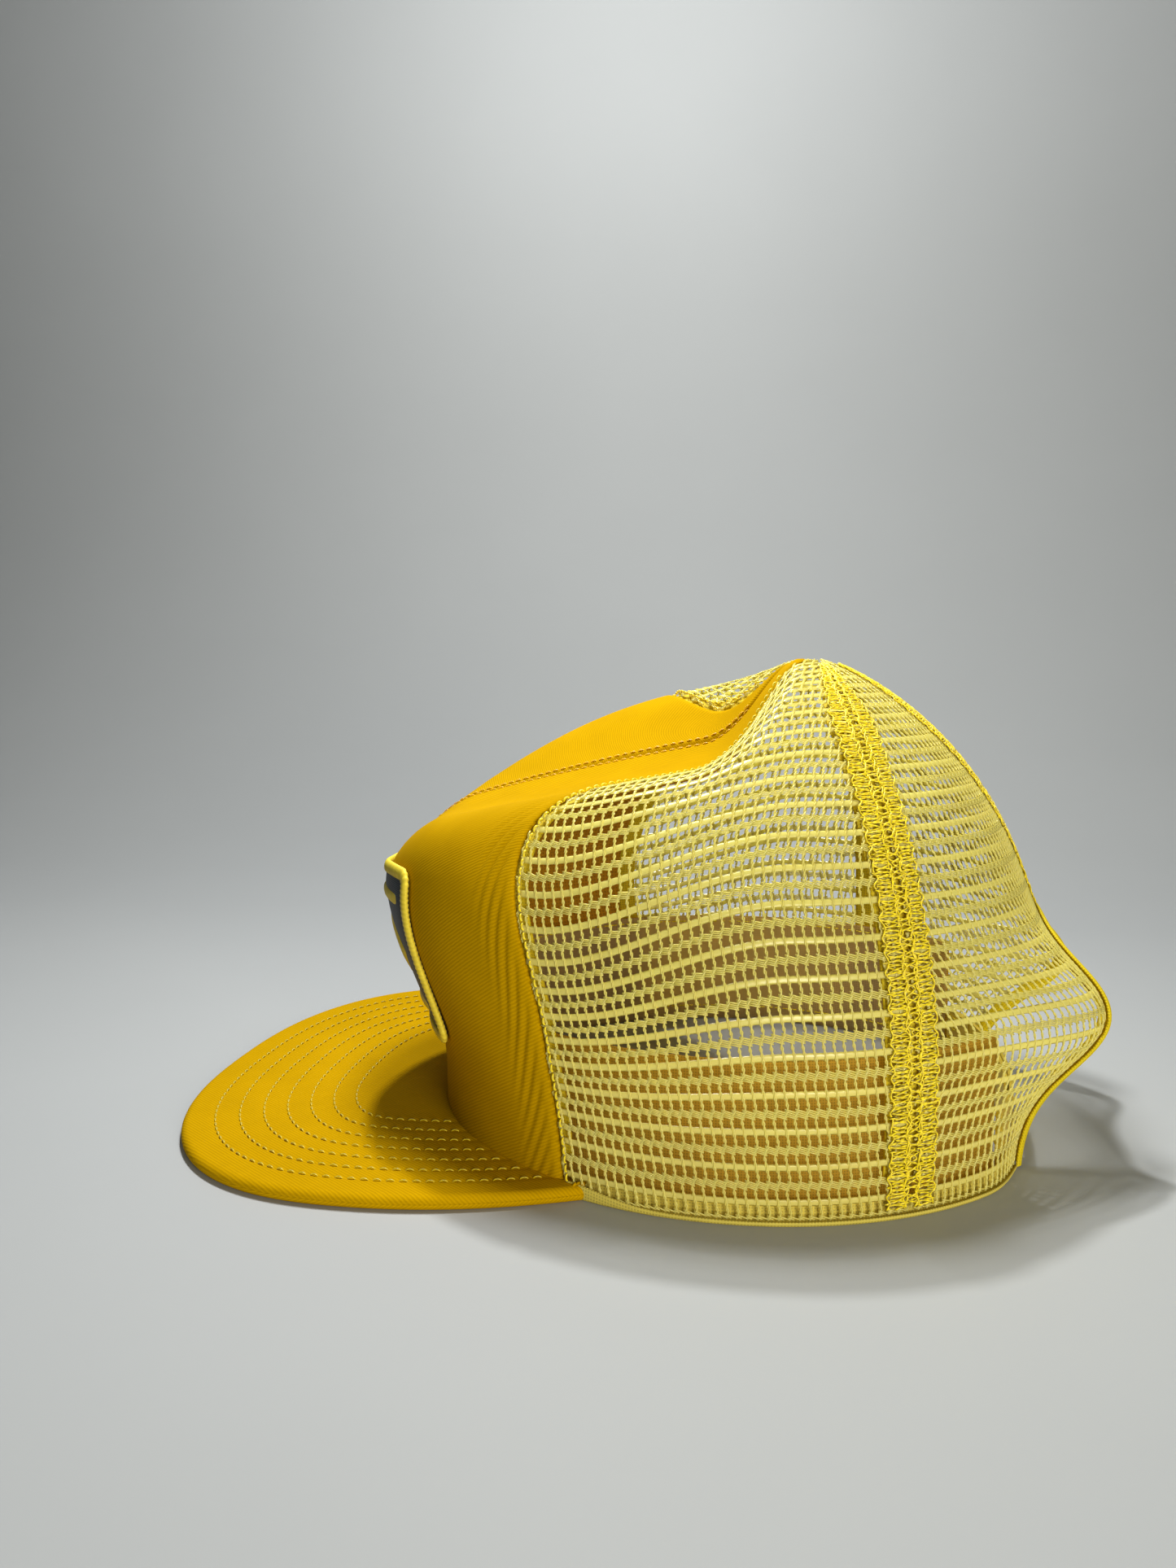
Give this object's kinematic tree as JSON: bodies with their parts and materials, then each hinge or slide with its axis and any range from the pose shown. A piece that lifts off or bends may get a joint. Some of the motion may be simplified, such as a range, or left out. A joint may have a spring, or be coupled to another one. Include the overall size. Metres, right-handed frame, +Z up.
{
  "type": "trucker mesh cap",
  "caption": "Yellow trucker cap with a cloth front, patch, net sides and back, flat stitched visor, rear arch opening and plastic snap straps that swing open.",
  "frame": {"origin": "centre of the head opening, on the plane that the hem and visor rest on", "axes": "+X to the wearer's left, +Y to the back of the cap, +Z up; the visor points along -Y"},
  "size_m": [0.188, 0.2685, 0.1367],
  "materials": {
    "cotton_twill": "golden yellow cotton twill, matte",
    "nylon_mesh": "pale lemon warp-knit net with a slight sheen",
    "buckram_lining": "stiffened open-weave lining",
    "twill_tape": "yellow woven tape",
    "polyester_thread": "bright yellow sewing thread",
    "patch_twill": "dark slate woven patch cloth",
    "embroidery_thread": "yellow embroidery thread with sheen",
    "visor_board": "moulded board",
    "sweatband_cotton": "tan-yellow cotton band",
    "strap_plastic": "moulded flexible yellow plastic"
  },
  "bodies": {
    "crown": {"front_panel_left": "cotton_twill", "front_panel_right": "cotton_twill", "front_lining_left": "buckram_lining", "front_lining_right": "buckram_lining", "mesh_side_left": "nylon_mesh", "mesh_side_right": "nylon_mesh", "mesh_back_left": "nylon_mesh", "mesh_back_right": "nylon_mesh", "tape_centre_front": "twill_tape", "tape_front_side_left": "twill_tape", "tape_front_side_right": "twill_tape", "tape_side_back_left": "twill_tape", "tape_side_back_right": "twill_tape", "tape_centre_back": "twill_tape", "stitch_centre_front": "polyester_thread", "stitch_front_side_left": "polyester_thread", "stitch_front_side_right": "polyester_thread", "stitch_side_back_left": "polyester_thread", "stitch_side_back_right": "polyester_thread", "stitch_centre_back": "polyester_thread", "patch_base": "patch_twill", "patch_border": "embroidery_thread", "patch_motif": "embroidery_thread", "visor_board": "visor_board", "visor_top_cloth": "cotton_twill", "visor_under_cloth": "cotton_twill", "visor_stitching": "polyester_thread", "hem_tape_left": "twill_tape", "hem_tape_right": "twill_tape", "sweatband": "sweatband_cotton", "sweatband_stitching": "polyester_thread", "arch_binding": "twill_tape", "strap_end_left": "strap_plastic", "strap_end_right": "strap_plastic", "strap_stitches_left": "polyester_thread", "strap_stitches_right": "polyester_thread"},
    "strap_holes": {"snap_strap_holes": "strap_plastic"},
    "strap_pegs": {"snap_strap_pegs": "strap_plastic"}
  },
  "joints": [
    {"name": "holes_strap_flex", "type": "hinge", "parent": "crown", "child": "strap_holes", "pos_m": [0.03258, 0.07556, 0.0105], "axis": [0, 0, -1], "range_deg": [0, 75], "stiffness_Nm_per_rad": 0.005},
    {"name": "pegs_strap_flex", "type": "hinge", "parent": "crown", "child": "strap_pegs", "pos_m": [-0.03258, 0.07423, 0.0105], "axis": [0, 0, -1], "range_deg": [0, 45], "stiffness_Nm_per_rad": 0.005}
  ]
}
